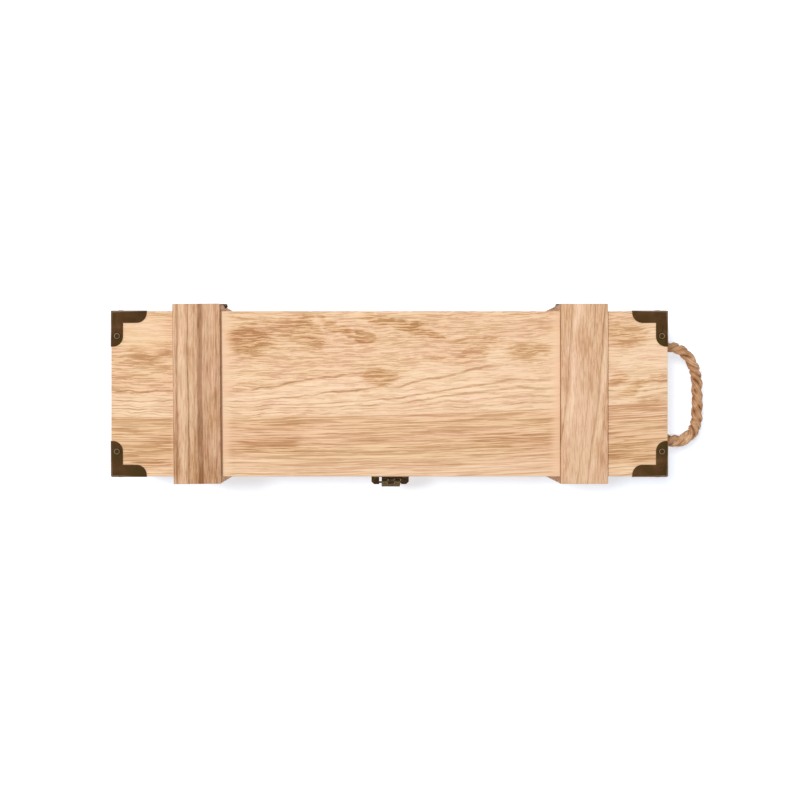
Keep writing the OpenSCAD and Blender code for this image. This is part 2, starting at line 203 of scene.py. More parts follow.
def add(material, kind, inputs=None, **settings):
    """Adds a shader node. An input is a value, another node, whose first output is taken, or a socket."""
    tree = material.node_tree
    node = tree.nodes.new("ShaderNode" + kind)
    for name, value in settings.items():
        setattr(node, name, value)
    for key, value in (inputs or {}).items():
        if isinstance(value, bpy.types.Node):
            value = value.outputs[0]
        if isinstance(value, bpy.types.NodeSocket):
            tree.links.new(value, node.inputs[key])
        else:
            node.inputs[key].default_value = value
    return node


def set_ramp(ramp, stops):
    """Gives a Color Ramp node its stops, as (position, hex colour)."""
    elements = ramp.color_ramp.elements
    while len(elements) < len(stops):
        elements.new(0.5)
    for element, (position, colour) in zip(elements, stops):
        element.position = position
        element.color = linear(colour)


def total(m, *terms):
    """The sum of several sockets or numbers."""
    whole = terms[0]
    for term in terms[1:]:
        whole = add(m, "Math", {0: whole, 1: term}, operation="ADD")
    return whole


def times(m, a, b):
    return add(m, "Math", {0: a, 1: b}, operation="MULTIPLY")


def rescale(m, value, start, end, low, high, smooth=False):
    """A value with its range start to end turned to low to high, and held at these outside it."""
    way = "SMOOTHSTEP" if smooth else "LINEAR"
    return add(m, "MapRange", {0: value, 1: start, 2: end, 3: low, 4: high}, interpolation_type=way)


# ---------------------------------------------------------------- wood

# Brushed and scorched softwood: a flame has darkened the boards, most where the grain is open, and the
# pores stand out as brown dashes on pale cream wood. Each list runs from the palest wood to the most burnt
BOARD_STOPS = [(0.0, "ffddb9"), (0.12, "f5cda6"), (0.27, "e6bb93"), (0.46, "d0a177"), (0.62, "bd8c62"),
               (1.0, "8c5f3a")]
BATTEN_STOPS = [(0.0, "ffdebb"), (0.15, "f0c8a4"), (0.35, "dbb08a"), (0.52, "c79974"), (0.76, "aa7b57"),
                (1.0, "8f613b")]
# Length and thickness of a dash with the gap to the next one, in mm
BOARD_DASH = (11.0, 0.66)
BATTEN_DASH = (9.0, 0.48)
# The noise over which there is a dash, in closed and in open grain, and how much more makes it full
CLOSED_LEVEL, OPEN_LEVEL, DASH_FULL = 0.50, 0.45, 0.06
# How much darker open grain is between its dashes
OPEN_TINT = 0.16
# The share of a year's ring where its dark latewood ends
LATEWOOD_END = 0.86
# How far the pattern moves along the grain from one board to the next, in mm
SEED_STEP = 211.0


def grain_place(m, along, seed):
    """Coordinates in mm with the grain along X, and the same moved by a seed so that no two boards match."""
    place = add(m, "TexCoord").outputs["Object"]
    xyz = add(m, "SeparateXYZ", {0: add(m, "VectorMath", {0: place, "Scale": 1 / MM}, operation="SCALE")})
    order = [along] + [i for i in (0, 1, 2) if i != along]
    grain = add(m, "CombineXYZ", {i: xyz.outputs[axis] for i, axis in enumerate(order)})
    moved = add(m, "VectorMath", {0: grain, 1: (SEED_STEP * seed, 0, 0)}, operation="ADD")
    return grain, moved


def grain_noise(m, place, stretch, low, high, bottom, top):
    """Noise drawn out along the grain, with its range low to high turned to bottom to top."""
    slow = add(m, "VectorMath", {0: place, 1: stretch}, operation="MULTIPLY")
    noise = add(m, "TexNoise", {"Vector": slow, "Scale": 1.0, "Detail": 2.0, "Roughness": 0.6})
    return rescale(m, noise, low, high, bottom, top, smooth=True)


def wavy(m, value, place, stretch, reach):
    """A value pushed to and fro by slow noise."""
    return total(m, value, grain_noise(m, place, stretch, 0.25, 0.75, -reach, reach))


def bands(m, rings, sharp):
    """Latewood in each ring: a slow rise to 1 and a quick fall."""
    share = add(m, "Math", {0: rings}, operation="FRACT")
    rise = add(m, "Math", {0: share, 1: sharp}, operation="POWER")
    return times(m, rise, rescale(m, share, LATEWOOD_END, 1.0, 1.0, 0.0, smooth=True))


def ridge(m, value, middle, half_width, flat=0.25):
    """1 where a value is at the middle, falling smoothly to 0 at half_width from it; flat is the share of
    half_width that stays at 1."""
    away = add(m, "Math", {0: total(m, value, -middle)}, operation="ABSOLUTE")
    return rescale(m, away, flat * half_width, half_width, 1.0, 0.0, smooth=True)


def dashes(m, place, across, figure, dash):
    """The pores: brown dashes drawn out along the grain, more of them where the grain is open."""
    length, thickness = dash
    xyz = add(m, "SeparateXYZ", {0: place})
    thin = add(m, "CombineXYZ", {0: times(m, xyz.outputs[0], 1 / length), 1: times(m, across, 1 / thickness),
                                 2: times(m, xyz.outputs[2], 0.05)})
    noise = add(m, "TexNoise", {"Vector": thin, "Scale": 1.0, "Detail": 3.0, "Roughness": 0.62,
                                "Lacunarity": 1.9})
    level = rescale(m, figure, 0.0, 1.0, CLOSED_LEVEL, OPEN_LEVEL)
    over = add(m, "Math", {0: noise, 1: level}, operation="SUBTRACT")
    return rescale(m, over, 0.0, DASH_FULL, 0.0, 1.0, smooth=True)


def scorched(m, place, across, figure, lines, pale, tone, stops, dash, weak=0.19, strong=0.46,
             streaking=(-0.04, 0.08), hues=(0.497, 0.504)):
    """The colour and relief of a board. across is the distance over the grain, figure is how open and burnt
    the grain is, from 0 to 1, lines and tone are darkness to add, pale takes all but the tone away where it
    is 0, dash is the size of a dash, weak and strong are a dash's darkness in closed and open grain,
    streaking is how pale and how dark the broad streaks are, and hues is from pinker to yellower wood."""
    strokes = times(m, dashes(m, place, across, figure, dash), rescale(m, figure, 0.0, 1.0, weak, strong))
    tint = times(m, figure, OPEN_TINT)
    streaks = grain_noise(m, place, (0.025, 0.6, 0.6), 0.3, 0.7, *streaking)
    dark = add(m, "Math", {0: total(m, strokes, tint, streaks, lines), 1: pale, 2: tone},
               operation="MULTIPLY_ADD", use_clamp=True)
    ramp = add(m, "ValToRGB", {0: dark})
    set_ramp(ramp, stops)
    # some patches are pinker and some yellower, and open grain has the stronger colour
    hue = grain_noise(m, place, (0.03, 0.09, 0.09), 0.35, 0.65, *hues)
    warmth = rescale(m, figure, 0.0, 1.0, 0.97, 1.08)
    colour = add(m, "HueSaturation", {"Hue": hue, "Saturation": warmth, "Color": ramp})
    bump = add(m, "Bump", {"Strength": 0.4, "Distance": 0.12 * MM, "Height": dark}, invert=True)
    shader = add(m, "BsdfPrincipled", {"Base Color": colour, "Roughness": 0.62, "Specular IOR Level": 0.3,
                                       "Normal": bump})
    add(m, "OutputMaterial", {0: shader})
    return m


def wood(name, along, tree, ring, seed, tone, stops=BOARD_STOPS, dash=BOARD_DASH):
    """A board of any piece. along is the axis that the grain follows, tree is where the middle of the tree
    passes, in mm, on the other two axes, and ring is the width of a year's growth."""
    m = new_material(name)
    grain, place = grain_place(m, along, seed)
    xyz = add(m, "SeparateXYZ", {0: grain})
    a = total(m, wavy(m, xyz.outputs[1], place, (0.008, 0.03, 0.03), 5.0), -tree[0])
    b = total(m, xyz.outputs[2], -tree[1])
    radius = add(m, "Math", {0: total(m, times(m, a, a), times(m, b, b)), 1: 0.5}, operation="POWER")
    year = bands(m, add(m, "Math", {0: radius, 1: ring}, operation="DIVIDE"), 3.0)
    broken = grain_noise(m, place, (0.06, 0.5, 0.5), 0.3, 0.62, 0.08, 0.34)
    flame = grain_noise(m, place, (0.018, 0.06, 0.06), 0.35, 0.65, 0.05, 0.65)
    rows = wavy(m, total(m, xyz.outputs[1], xyz.outputs[2]), place, (0.045, 0.08, 0.08), 0.8)
    return scorched(m, place, rows, flame, times(m, year, broken), 1.0, tone, stops, dash)


def span_x(node):
    """The middle of a CAD node on X and half its width there, in mm."""
    low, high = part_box(node)
    return (low.x + high.x) / 2 / MM, (high.x - low.x) / 2 / MM


# The lid's board has two pieces of wood, glued side by side. All its places are in mm on the lid's top. The
# seam's height, where it starts to rise to the right and how fast, and the heights over it between which one
# piece's looks give way to the other's
SEAM_Y, SEAM_FROM_X, SEAM_RISE = -14.5, -102.0, 5.6 / 208 ** 2
SEAM_BLEND = (-0.4, 0.1)
# Its darkest spots, as (x, y, half length, half width, turn in degrees, strength)
LID_SPOTS = [
    (-88, 34, 24, 16, -8, 0.95), (-62, 41, 30, 11, -12, 0.75), (-52, 41, 15, 11, -24, 0.9),
    (-48, 33, 16, 7, 0, 0.7), (-33, 42, 20, 4.2, -26, 1.0), (-17, 35, 15, 4.6, -10, 0.95),
    (-6, 47, 19, 5, -14, 0.9), (16, 41, 26, 6, -12, 0.95), (28, 37, 12, 4, -20, 0.8),
    (-6, 11, 17, 6.5, 4, 0.8), (56, 33, 24, 7, 4, 0.6), (54, 26, 16, 5, 6, 0.6), (87, 28, 20, 11, 0, 0.6),
    (38, 22, 26, 4, 2, 0.5), (-68, -20, 34, 11, 0, 0.6), (-76, -31, 34, 10, 0, 0.7),
    (75, -29, 42, 11, 0, 0.6), (20, -24, 60, 9, 0, 0.4), (-150, 26, 24, 15, -6, 0.72),
    (-140, 10, 20, 9, 0, 0.4), (-150, -38, 30, 14, 0, 0.72), (-143, -24, 10, 4, 0, 0.6),
    (150, 38, 18, 12, 0, 0.65), (144, 9, 9, 5, 0, 0.6), (160, 6, 22, 4, 22, 0.6), (168, -8, 16, 6, 0, 0.6),
    (152, -36, 26, 14, 0, 0.6)]
# A patch in its rear left corner that the flame passed by, in the same form
PALE_PATCH = (-154, 38, 24, 16, 0, 0.65)
# The strips next to the battens, which the flame passed by too: how far past a batten's edge they begin and
# have ended to fade, and what is left of the darkness in them. The number for a batten's left and right side
# is how many times nearer to its middle the strip on that side ends
STRIP_FROM, STRIP_TO, STRIP_LEFT = 0.8, 8.0, 0.2
STRIPS = {"lid_left_batten": (1.3, 1.0), "lid_right_batten": (1.0, 3.0)}
# In the upper piece the grain sweeps round an eye. The lines there, as (height over the seam, half width,
# darkness, where on X the line starts to fade), and how long it takes to fade
SWEEP_LINES = [(2.3, 0.5, 0.2, 200), (4.6, 0.5, 0.22, 200), (7.2, 0.65, 0.3, 200), (10.3, 0.7, 0.32, 90),
               (13.4, 0.4, 0.1, 60), (16.7, 0.85, 0.38, 58), (22.0, 0.5, 0.12, 0), (27.7, 1.1, 0.32, -12)]
SWEEP_FADE = 14
# In the lower piece it runs straight, with a line as often as this
STRAIGHT_RING = 2.2
# The pattern of the outer face ends between these depths under it
FACE_DEPTHS = (2.0, 0.5)


def spot_shade(m, place, spot):
    """How strong a spot such as those of LID_SPOTS is, from its strength in the middle to 0 at its rim."""
    x, y, half_long, half_wide, turn, strength = spot
    inside = add(m, "Mapping", {"Vector": place, "Location": (x, y, 0), "Scale": (half_long, half_wide, 1),
                                "Rotation": (0, 0, math.radians(turn))}, vector_type="TEXTURE")
    shade = add(m, "TexGradient", {0: inside}, gradient_type="SPHERICAL")
    return rescale(m, shade.outputs[1], 0.0, 0.6, 0.0, strength, smooth=True)


def lid_wood():
    """The lid's board, with its seam, its lines and its spots where the real one has them."""
    m = new_material("scorched_softwood_lid")
    grain, shared_place = grain_place(m, 0, 1)
    xyz = add(m, "SeparateXYZ", {0: grain})
    x, y, z = xyz.outputs[0], xyz.outputs[1], xyz.outputs[2]
    # the height over the glued seam, and which piece of wood a point is in
    past = add(m, "Math", {0: total(m, x, -SEAM_FROM_X), 1: 0.0}, operation="MAXIMUM")
    seam = total(m, times(m, times(m, past, past), SEAM_RISE), SEAM_Y)
    over = add(m, "Math", {0: y, 1: seam}, operation="SUBTRACT")
    upper = rescale(m, over, *SEAM_BLEND, 0.0, 1.0)
    # the lower piece has longer dashes
    squeeze = rescale(m, over, *SEAM_BLEND, 0.4, 1.0)
    place_xyz = add(m, "SeparateXYZ", {0: shared_place})
    place = add(m, "CombineXYZ", {0: times(m, place_xyz.outputs[0], squeeze), 1: y, 2: place_xyz.outputs[2]})
    # the upper piece's lines lie close together at the left and ever further apart to the right
    apart = total(m, rescale(m, x, -95.0, -8.0, 0.6, 1.0), rescale(m, x, 0.0, 80.0, 0.0, 0.85))
    swept = add(m, "Math", {0: wavy(m, over, place, (0.045, 0.08, 0.08), 1.1), 1: apart}, operation="DIVIDE")
    sweep = total(m, *[
        times(m, ridge(m, swept, middle, half_width), rescale(m, x, last, last + SWEEP_FADE, dark, 0.0))
        for middle, half_width, dark, last in SWEEP_LINES])
    upper_lines = times(m, sweep, grain_noise(m, place, (0.07, 0.12, 0.12), 0.3, 0.55, 0.45, 1.0))
    # the lower piece's straight grain
    years = add(m, "Math", {0: wavy(m, over, place, (0.035, 0.10, 0.10), 0.9), 1: STRAIGHT_RING},
                operation="DIVIDE")
    broken = grain_noise(m, place, (0.05, 0.4, 0.4), 0.3, 0.65, 0.14, 0.44)
    lower_lines = times(m, bands(m, years, 4.0), broken)
    lines = add(m, "Mix", {0: upper, 2: lower_lines, 3: upper_lines}).outputs[0]
    # how open and burnt the grain is: little along the front, least in the sweep, more at the left end
    lower = rescale(m, over, -38.0, -20.0, 0.05, 0.4)
    calm = rescale(m, swept, 18.0, 26.0, -0.9, 0.3)
    left_end = rescale(m, x, -130.0, -140.0, 0.0, 0.15)
    figure = total(m, add(m, "Mix", {0: upper, 2: lower, 3: calm}).outputs[0], left_end)
    bent = add(m, "CombineXYZ", {0: x, 1: wavy(m, y, place, (0.06, 0.15, 0.15), 3.0)})
    for spot in LID_SPOTS:
        figure = add(m, "Math", {0: figure, 1: spot_shade(m, bent, spot)}, operation="MAXIMUM")
    # where the flame passed by, which shows on the outer face only
    pale = total(m, 1.0, times(m, spot_shade(m, bent, PALE_PATCH), -1.0))
    for batten, (left_side, right_side) in STRIPS.items():
        middle, half = span_x(batten)
        past_middle = total(m, x, -middle)
        away = add(m, "Math", {0: times(m, past_middle, -left_side), 1: times(m, past_middle, right_side)},
                   operation="MAXIMUM")
        strip = rescale(m, away, half + STRIP_FROM, half + STRIP_TO, STRIP_LEFT, 1.0, smooth=True)
        pale = times(m, pale, strip)
    outside = rescale(m, z, LID_TOP / MM - FACE_DEPTHS[0], LID_TOP / MM - FACE_DEPTHS[1], 0.0, 1.0)
    pale = add(m, "Mix", {0: outside, 2: 1.0, 3: pale}).outputs[0]
    rows = wavy(m, total(m, over, z), place, (0.045, 0.08, 0.08), 0.6)
    return scorched(m, place, rows, figure, lines, pale, 0.035, BOARD_STOPS, BOARD_DASH)


# Streaks along the two battens on the lid, as (distance from the batten's middle, half width, darkness), with
# the distance measured at the middle of the lid; in mm
LEFT_STREAKS = [(-12.3, 0.8, 0.24), (-9.0, 2.6, -0.14), (-5.2, 0.6, 0.34), (-3.4, 1.4, -0.06),
                (-1.2, 0.5, 0.12), (2.2, 2.1, 0.42), (5.0, 0.5, 0.1), (6.6, 0.9, 0.08), (10.2, 1.3, -0.06),
                (12.3, 0.5, 0.16)]
RIGHT_STREAKS = [(-10.8, 0.6, 0.2), (-7.6, 2.2, -0.08), (3.2, 0.6, 0.14), (9.1, 0.6, 0.2), (11.8, 2.0, -0.1)]
# Half the width of a batten that isn't turned. Its sawn sides get painted shade between these depths
# under them, in mm, this much darker
BATTEN_HALF = span_x("left_skid")[1]
SHADED_SIDE_DEPTHS, SIDE_SHADE = (0.4, 0.1), 0.4


def cross_batten_wood(name, node, turn, slope, streaks, seed, tone, flames, front):
    """A batten across the lid, whose grain runs along Y. turn is how far it is turned about Z, in degrees,
    slope is how much its streaks lean, flames are the least and the most open grain, and front is how much
    darker it gets to the front."""
    m = new_material(name)
    grain, place = grain_place(m, 1, seed)
    xyz = add(m, "SeparateXYZ", {0: grain})
    y, x = xyz.outputs[0], total(m, xyz.outputs[1], -span_x(node)[0])
    square = total(m, x, times(m, y, math.tan(math.radians(turn))))
    bowed = times(m, y, rescale(m, y, -30.0, 10.0, -1.9 * slope, -slope))
    leaning = wavy(m, total(m, square, bowed), place, (0.025, 0.10, 0.10), 0.55)
    streaked = total(m, *[times(m, ridge(m, leaning, middle, half_width, flat=0.5), dark)
                          for middle, half_width, dark in streaks])
    uneven = times(m, streaked, grain_noise(m, place, (0.05, 0.3, 0.3), 0.3, 0.6, 0.65, 1.1))
    slowly = rescale(m, y, -52.0, 45.0, front, -front)
    away = add(m, "Math", {0: square}, operation="ABSOLUTE")
    # painted shade on the sawn sides
    side = rescale(m, away, BATTEN_HALF - SHADED_SIDE_DEPTHS[0], BATTEN_HALF - SHADED_SIDE_DEPTHS[1], 0.0, SIDE_SHADE)
    flame = grain_noise(m, place, (0.03, 0.10, 0.10), 0.35, 0.65, *flames)
    rows = wavy(m, total(m, square, xyz.outputs[2]), place, (0.04, 0.15, 0.15), 0.25)
    lines = total(m, uneven, slowly, side)
    return scorched(m, place, rows, flame, lines, 1.0, tone, BATTEN_STOPS, BATTEN_DASH,
                    weak=0.17, strong=0.28, streaking=(-0.02, 0.03), hues=(0.496, 0.5025))


LID_WOOD = lid_wood()
CASE_WOOD = wood("scorched_softwood_case", 0, (-70.0, 40.0), 4.0, 2, tone=0.03)
END_WOOD = wood("scorched_softwood_ends", 1, (150.0, 20.0), 4.0, 3, tone=0.03)
LEFT_BATTEN_WOOD = cross_batten_wood("scorched_softwood_left_battens", "lid_left_batten", 0.5, 0.0,
                                     LEFT_STREAKS, 4, tone=0.27, flames=(0.1, 0.8), front=0.07)
RIGHT_BATTEN_WOOD = cross_batten_wood("scorched_softwood_right_battens", "lid_right_batten", 0.0, 0.07,
                                      RIGHT_STREAKS, 5, tone=0.19, flames=(-0.1, 0.6), front=0.02)
UPRIGHT_WOOD = wood("scorched_softwood_uprights", 2, (-90.0, 0.0), 4.5, 6, tone=0.17, stops=BATTEN_STOPS,
                    dash=BATTEN_DASH)

# ---------------------------------------------------------------- metal

# Stamped sheet with dark antiqued plating, and the same plating lighter on edges, on the bends of the corner
# protectors and
# on the crests of nail heads: partly rubbed wear where hands and cloth reach it, partly painted highlight
# where these catch the light


def plating(name, stops, roughness=(0.58, 0.72), mottle=0.11):
    """A metal whose colour runs along the stops in clouds; mottle is how small the clouds are, per mm."""
    m = new_material(name)
    place = add(m, "TexCoord").outputs["Object"]
    mm = add(m, "VectorMath", {0: place, "Scale": 1 / MM}, operation="SCALE")
    cloud = add(m, "TexNoise", {"Vector": mm, "Scale": mottle, "Detail": 5.0, "Roughness": 0.62})
    ramp = add(m, "ValToRGB", {0: cloud})
    set_ramp(ramp, stops)
    pits = add(m, "TexNoise", {"Vector": mm, "Scale": 1.6, "Detail": 3.0})
    rough = rescale(m, pits, 0.0, 1.0, *roughness)
    bump = add(m, "Bump", {"Strength": 0.25, "Distance": 0.04 * MM, "Height": pits})
    shader = add(m, "BsdfPrincipled", {"Base Color": ramp, "Metallic": 1.0, "Roughness": rough,
                                       "Normal": bump})
    add(m, "OutputMaterial", {0: shader})
    return m


BRONZE = plating("antiqued_bronze_plating", [(0.3, "3b3313"), (0.46, "43301a"), (0.6, "4b3420"),
                                             (0.72, "553f28")])
# The lighter plating: rubbed wear and painted highlight
RUBBED_AND_HIGHLIGHT = plating("antiqued_bronze_rubbed_edge_and_painted_highlight", [(0.3, "6b563e"), (0.72, "8e7861")])
# The hasp's plating is darker than the corners', and its arm's is lighter and more olive
HASP_BRONZE = plating("antiqued_bronze_hasp", [(0.3, "33231a"), (0.5, "3d2c1a"), (0.72, "55452a")],
                      mottle=0.3)
ARM_BRONZE = plating("antiqued_bronze_light_olive", [(0.3, "4a3b25"), (0.52, "655439"), (0.72, "77684a")],
                     mottle=0.25)
HINGE_BRONZE = plating("antiqued_bronze_hinge", [(0.3, "4a402c"), (0.5, "685d44"), (0.72, "877c5f")],
                       mottle=0.3)
STEEL = plating("dull_wire_steel", [(0.3, "77736c"), (0.7, "9a958c")], roughness=(0.35, 0.5))

# ---------------------------------------------------------------- rope

ROPE_D = 7.5 * MM
ROPE_PITCH = 20 * MM
ROPE_Z = 52 * MM
ROPE_DROOP = math.radians(15)
LOOP_X = WALL_HIGH.x + 0.3 * MM + ROPE_D / 2
# The loop's route in its own plane, in mm, as [out, along Y], as the CAD model has it
ROUTE = [(0, 30.3), (4, 30.7), (8, 30.8), (12.5, 30), (17.6, 27.4), (22.1, 22.4), (25.3, 15.8),
         (26.7, 8.9), (27, 2.3), (27.1, -4.3), (27, -11), (26.5, -18), (24.8, -23.6), (21.5, -27.7),
         (17.2, -30.4), (12.1, -31.2), (8, -31), (4, -30.6), (0, -30.3)]
# How thick the rope is along its length: thinner at the rear hole and slack and fuller at the front one
SWELL = [(0.0, 0.9), (0.12, 0.88), (0.3, 0.98), (0.6, 1.0), (0.78, 1.08), (0.9, 1.12), (0.94, 1.04),
         (1.0, 0.98)]
LOOP_HAIRS = 800
# The knot behind a hole: the rope winds round itself, and its tail stands out of the middle. It is pulled
# tight, so it is thinner and evenly thick
KNOT_ROPE_D = 6.4 * MM
KNOT_PITCH = ROPE_PITCH * 0.8
KNOT_SWELL = [(0.0, 1.0), (1.0, 1.0)]
KNOT_TURN_R = 5.2 * MM
KNOT_TURNS = 1.7
KNOT_HAIRS = 260
# The skin's grid, and a strand's place, radius and crease as shares of the rope's diameter
ROPE_SIDES = 48
ROPE_STEP = 0.6 * MM
STRANDS = 3
STRAND_TURN = 2 * math.pi / STRANDS
STRAND_MIDDLE, STRAND_R, GROOVE = 0.225, 0.272, 0.34
# The yarns in a strand, with how high they stand, and lumps where the strands are slack
YARNS = 7
YARN_PITCH = 7.5 * MM
YARN_RELIEF = 0.11 * MM
LUMP_RELIEF = 0.16 * MM
# How far apart the strands lie on the UV map
STRAND_UV = 10
# Where a loose fibre starts, as a share of the rope's diameter, and its radius
HAIR_ROOT = 0.46
HAIR_R = 0.055 * MM


def rope_path():
    """The handle's middle line, from the inner face of the end board to the same face at the other hole."""
    level, down = math.cos(ROPE_DROOP), math.sin(ROPE_DROOP)
    loop = [Vector((LOOP_X + out * MM * level, y * MM, ROPE_Z - out * MM * down)) for out, y in ROUTE]
    in_wall = (WALL_LOW.x, (WALL_LOW.x + WALL_HIGH.x) / 2, WALL_HIGH.x)
    start, end = ([Vector((x, p.y, ROPE_Z)) for x in in_wall] for p in (loop[0], loop[-1]))
    return start + loop + end[::-1]


def smooth_line(points, step):
    """Points at an even step along a Catmull-Rom curve through the given ones."""
    p = [2 * points[0] - points[1]] + list(points) + [2 * points[-1] - points[-2]]
    fine, parts = [], 20
    for i in range(1, len(p) - 2):
        for k in range(parts):
            t = k / parts
            fine.append(0.5 * (2 * p[i] + (p[i + 1] - p[i - 1]) * t
                               + (2 * p[i - 1] - 5 * p[i] + 4 * p[i + 1] - p[i + 2]) * t * t
                               + (3 * p[i] - p[i - 1] - 3 * p[i + 1] + p[i + 2]) * t ** 3))
    fine = np.array([tuple(v) for v in fine + [points[-1]]])
    gone = np.concatenate([[0], np.cumsum(np.linalg.norm(np.diff(fine, axis=0), axis=1))])
    even = np.linspace(0, gone[-1], max(2, round(gone[-1] / step) + 1))
    return np.stack([np.interp(even, gone, fine[:, k]) for k in range(3)], axis=1), even


def frames_along(line):
    """A heading and two side directions at each point, carried along without twisting."""
    heading = np.gradient(line, axis=0)
    heading /= np.linalg.norm(heading, axis=1)[:, None]
    side = np.cross(heading[0], (0, 0, 1.0))
    side /= np.linalg.norm(side)
    sides = []
    for h in heading:
        side = side - (side @ h) * h
        side /= np.linalg.norm(side)
        sides.append(side)
    sides = np.array(sides)
    return heading, sides, np.cross(heading, sides)


def add_hair(points, faces, uvs, root, heading, out, along):
    """A loose fibre: a thin three-sided tube that leaves the rope and curls back along it."""
    length, lift = random.uniform(1.4, 3.2) * MM, random.uniform(0.35, 1.1) * MM
    lean = np.array([random.uniform(-1, 1) for _ in range(3)]) * 0.35
    way = heading * random.choice((-1, 1)) + lean
    way /= np.linalg.norm(way)
    across = np.cross(way, out)
    across /= np.linalg.norm(across)
    first, rings, sides = len(points), 5, 3
    for i in range(rings):
        t = i / (rings - 1)
        middle = root + way * length * t + out * (lift * math.sin(2.2 * t) - 0.15 * MM)
        thick = HAIR_R * (1 - 0.6 * t)
        for k in range(sides):
            angle = 2 * math.pi * k / sides
            points.append(middle + thick * (math.cos(angle) * across + math.sin(angle) * out))
            uvs.append((along / MM, 0.0))
    for i in range(rings - 1):
        for k in range(sides):
            a, b = first + sides * i, first + sides * (i + 1)
            faces.append((a + k, a + (k + 1) % sides, b + (k + 1) % sides, b + k))


def lay_rope(name, points, diameter, pitch, swell, hairs):
    """A three-strand rope along a line: one skin with three lobes that wind round it, yarns that wind the
    other way over each lobe, and loose fibres. Its UV map holds the way along it and the place across a
    strand, both in mm."""
    line, gone = smooth_line(points, ROPE_STEP)
    heading, side, up = frames_along(line)
    thick = diameter * np.interp(gone / gone[-1], *zip(*swell))
    skin, uvs = [], []
    for i, centre in enumerate(line):
        # the lay isn't quite even
        uneven = 0.35 * math.sin(gone[i] / (5.1 * MM)) + 0.25 * math.sin(gone[i] / (2.9 * MM))
        turn = -2 * math.pi * gone[i] / pitch + uneven
        for k in range(ROPE_SIDES):
            angle = 2 * math.pi * k / ROPE_SIDES
            strand = round(angle / STRAND_TURN)
            off = angle - strand * STRAND_TURN
            inside = max(0.0, STRAND_R ** 2 - (STRAND_MIDDLE * math.sin(off)) ** 2)
            r = thick[i] * max(GROOVE, STRAND_MIDDLE * math.cos(off) + math.sqrt(inside))
            on_strand = math.atan2(r * math.sin(off), r * math.cos(off) - STRAND_MIDDLE * thick[i])
            r += YARN_RELIEF * math.cos(YARNS * on_strand - 2 * math.pi * gone[i] / YARN_PITCH + strand)
            r += (LUMP_RELIEF * math.sin(gone[i] / (1.9 * MM) + 2.4 * strand)
                  * math.cos(gone[i] / (3.7 * MM) + strand))
            a = angle + turn
            skin.append(centre + r * (math.cos(a) * side[i] + math.sin(a) * up[i]))
            uvs.append((gone[i] / MM, strand * STRAND_UV + on_strand * STRAND_R * diameter / MM))
    rings, n = len(line), ROPE_SIDES
    faces = [(i * n + k, i * n + (k + 1) % n, (i + 1) * n + (k + 1) % n, (i + 1) * n + k)
             for i in range(rings - 1) for k in range(n)]
    faces += [tuple(range(n))[::-1], tuple((rings - 1) * n + k for k in range(n))]
    body_faces = len(faces)
    for _ in range(hairs):
        i, angle = random.randrange(3, rings - 3), random.uniform(0, 2 * math.pi)
        out = math.cos(angle) * side[i] + math.sin(angle) * up[i]
        add_hair(skin, faces, uvs, line[i] + out * HAIR_ROOT * thick[i], heading[i], out, gone[i])
    piece = mesh_piece(name, skin, faces)
    layer = piece.data.uv_layers.new(name="strands")
    for face in piece.data.polygons[:body_faces]:
        # the last column of faces closes the ring, so that its far side is three strands on
        closes = {piece.data.loops[l].vertex_index % n for l in face.loop_indices} == {0, n - 1}
        for l in face.loop_indices:
            u, v = uvs[piece.data.loops[l].vertex_index]
            far_side = closes and v < 1.5 * STRAND_UV
            layer.data[l].uv = (u, v + STRANDS * STRAND_UV if far_side else v)
    for face in piece.data.polygons[body_faces:]:
        for l in face.loop_indices:
            layer.data[l].uv = uvs[piece.data.loops[l].vertex_index]
    only(piece)
    bpy.ops.object.mode_set(mode="EDIT")
    bpy.ops.mesh.select_all(action="SELECT")
    bpy.ops.mesh.normals_make_consistent(inside=False)
    bpy.ops.object.mode_set(mode="OBJECT")
    bpy.ops.object.shade_smooth()
    return piece, line


def jute(name):
    """Twisted jute yarn: matt, straw brown, with painted shade in the creases between the strands and pale
    loose fibres.
    """
    m = new_material(name)
    uv = add(m, "UVMap", uv_map="strands")
    along_across = add(m, "SeparateXYZ", {0: uv})
    along, across = along_across.outputs[0], along_across.outputs[1]
    fibre_place = add(m, "VectorMath", {0: uv, 1: (0.4, 2.6, 1.0)}, operation="MULTIPLY")
    fibre = add(m, "TexNoise", {"Vector": fibre_place, "Scale": 1.0, "Detail": 5.0, "Roughness": 0.7})
    place = add(m, "TexCoord").outputs["Object"]
    patch = add(m, "TexNoise", {"Vector": place, "Scale": 150.0, "Detail": 4.0})
    # yarns wind round each strand
    phase = add(m, "Math", {0: across, 1: YARNS * MM / (STRAND_R * ROPE_D),
                            2: times(m, along, -2 * math.pi * MM / YARN_PITCH)}, operation="MULTIPLY_ADD")
    yarn = rescale(m, add(m, "Math", {0: phase}, operation="SINE"), -1.0, 1.0, -0.07, 0.07)
    # how near a point is to the crease between two strands, where shade is painted
    away = add(m, "Math", {0: across, 1: STRAND_UV / 2}, operation="PINGPONG")
    crease_shade = rescale(m, away, 2.2, 3.3, 0.0, 1.0, smooth=True)
    # how deep the painted shade in the creases is, which varies in patches
    depth = rescale(m, patch, 0.35, 0.62, -0.34, 0.02)
    mixed = total(m, fibre, times(m, patch, 0.6), yarn, times(m, crease_shade, depth))
    ramp = add(m, "ValToRGB", {0: mixed})
    set_ramp(ramp, [(0.3, "55371f"), (0.55, "9c6d4a"), (0.74, "c0916a"), (1.0, "e9c5a0")])
    bump = add(m, "Bump", {"Strength": 0.9, "Distance": 0.3 * MM, "Height": fibre})
    shader = add(m, "BsdfPrincipled", {"Base Color": ramp, "Roughness": 0.9, "Specular IOR Level": 0.15,
                                       "Normal": bump})
    add(m, "OutputMaterial", {0: shader})
    return m


JUTE = jute("twisted_jute")


